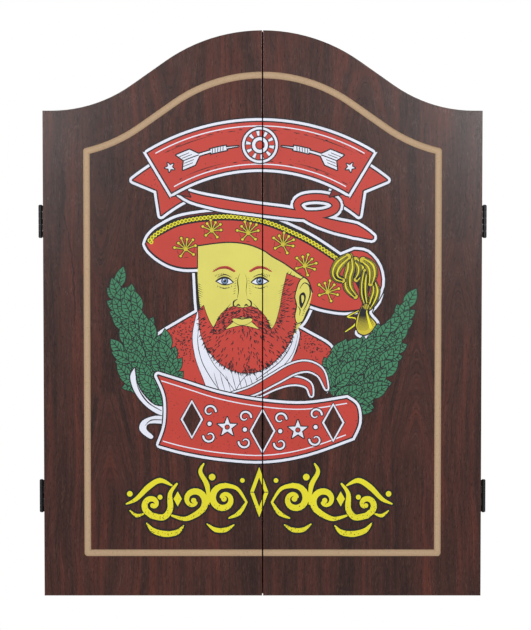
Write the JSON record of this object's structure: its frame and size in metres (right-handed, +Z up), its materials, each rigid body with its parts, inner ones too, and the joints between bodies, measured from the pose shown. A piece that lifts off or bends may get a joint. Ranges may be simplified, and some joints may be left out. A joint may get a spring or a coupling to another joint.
{
  "type": "dart board cabinet",
  "caption": "Wall cabinet with an arched top and two hinged doors over a round bristle dart board, with chalk scoreboards and dart racks inside the doors.",
  "frame": {"origin": "bull's centre projected onto the wall, on the flat back of the cabinet", "axes": "+Z up, +X to the right of a player facing the cabinet, +Y into the wall, doors face -Y"},
  "size_m": [0.5336, 0.1022, 0.671],
  "materials": {
    "cabinet_foil": "satin wood-print foil on fibreboard",
    "door_foil": "satin wood-print foil on fibreboard with a bare routed groove",
    "holder_wood": "stained and satin lacquered",
    "dowel_wood": "bare beech",
    "chalkboard": "matt chalkboard paint with white markings",
    "black_hinge_steel": "black satin lacquer",
    "black_screws": "black phosphate",
    "zinc_steel": "bright zinc plate",
    "catch_plastic": "moulded brown plastic",
    "magnet_ferrite": "fired ferrite",
    "sisal": "clipped sisal bristle, dyed in segments",
    "backing_board": "raw particle board",
    "band_steel": "black lacquered band",
    "spider_steel": "galvanised wire",
    "number_ring_steel": "white lacquered wire",
    "spacer_rubber": "moulded rubber",
    "dart_brass": "turned and knurled, with nylon shaft and polyester flight"
  },
  "bodies": {
    "cabinet": {"back_panel": "cabinet_foil", "back_panel_screws": "zinc_steel", "board_bracket": "zinc_steel", "bottom_panel": "cabinet_foil", "bracket_screws": "zinc_steel", "catch_magnets": "magnet_ferrite", "catch_pole_plates": "zinc_steel", "catch_screws": "zinc_steel", "hinge_case_screws": "black_screws", "left_catch_housing": "catch_plastic", "left_lower_hinge_case_leaf": "black_hinge_steel", "left_lower_hinge_pin": "black_hinge_steel", "left_side_panel": "cabinet_foil", "left_upper_hinge_case_leaf": "black_hinge_steel", "left_upper_hinge_pin": "black_hinge_steel", "panel_dowels": "dowel_wood", "right_catch_housing": "catch_plastic", "right_lower_hinge_case_leaf": "black_hinge_steel", "right_lower_hinge_pin": "black_hinge_steel", "right_side_panel": "cabinet_foil", "right_upper_hinge_case_leaf": "black_hinge_steel", "right_upper_hinge_pin": "black_hinge_steel", "top_panel": "cabinet_foil", "top_panel_nails": "zinc_steel"},
    "dart_board": {"board_backing": "backing_board", "board_band": "band_steel", "board_sisal": "sisal", "board_spacers": "spacer_rubber", "board_spider": "spider_steel", "hanger_bolt": "zinc_steel", "number_ring_clips": "spider_steel"},
    "dart_1": {"dart_1": "dart_brass"},
    "dart_2": {"dart_2": "dart_brass"},
    "dart_3": {"dart_3": "dart_brass"},
    "dart_4": {"dart_4": "dart_brass"},
    "dart_5": {"dart_5": "dart_brass"},
    "dart_6": {"dart_6": "dart_brass"},
    "left_door": {"left_dart_holder": "holder_wood", "left_dart_holder_screws": "black_screws", "left_door_hinge_screws": "black_screws", "left_door_panel": "door_foil", "left_lower_hinge_door_leaf": "black_hinge_steel", "left_scoreboard": "chalkboard", "left_scoreboard_screws": "black_screws", "left_strike_plate": "zinc_steel", "left_strike_screw": "zinc_steel", "left_upper_hinge_door_leaf": "black_hinge_steel"},
    "number_ring": {"number_ring": "number_ring_steel"},
    "right_door": {"right_dart_holder": "holder_wood", "right_dart_holder_screws": "black_screws", "right_door_hinge_screws": "black_screws", "right_door_panel": "door_foil", "right_lower_hinge_door_leaf": "black_hinge_steel", "right_scoreboard": "chalkboard", "right_scoreboard_screws": "black_screws", "right_strike_plate": "zinc_steel", "right_strike_screw": "zinc_steel", "right_upper_hinge_door_leaf": "black_hinge_steel"}
  },
  "joints": [
    {"name": "left_door_hinge", "type": "hinge", "parent": "cabinet", "child": "left_door", "pos_m": [-0.2643, -0.0891, -0.008], "axis": [0, 0, -1], "range_deg": [0, 180]},
    {"name": "right_door_hinge", "type": "hinge", "parent": "cabinet", "child": "right_door", "pos_m": [0.2643, -0.0891, -0.008], "axis": [0, 0, 1], "range_deg": [0, 180]},
    {"name": "board_turn", "type": "hinge", "parent": "cabinet", "child": "dart_board", "pos_m": [0, -0.0135, 0], "axis": [0, -1, 0], "continuous": true},
    {"name": "number_ring_turn", "type": "hinge", "parent": "dart_board", "child": "number_ring", "pos_m": [0, -0.056, 0], "axis": [0, -1, 0], "continuous": true},
    {"name": "dart_1_lift", "type": "slide", "parent": "left_door", "child": "dart_1", "axis": [0, 0, 1], "range_m": [0, 0.045]},
    {"name": "dart_2_lift", "type": "slide", "parent": "left_door", "child": "dart_2", "axis": [0, 0, 1], "range_m": [0, 0.045]},
    {"name": "dart_3_lift", "type": "slide", "parent": "left_door", "child": "dart_3", "axis": [0, 0, 1], "range_m": [0, 0.045]},
    {"name": "dart_4_lift", "type": "slide", "parent": "right_door", "child": "dart_4", "axis": [0, 0, 1], "range_m": [0, 0.045]},
    {"name": "dart_5_lift", "type": "slide", "parent": "right_door", "child": "dart_5", "axis": [0, 0, 1], "range_m": [0, 0.045]},
    {"name": "dart_6_lift", "type": "slide", "parent": "right_door", "child": "dart_6", "axis": [0, 0, 1], "range_m": [0, 0.045]}
  ]
}
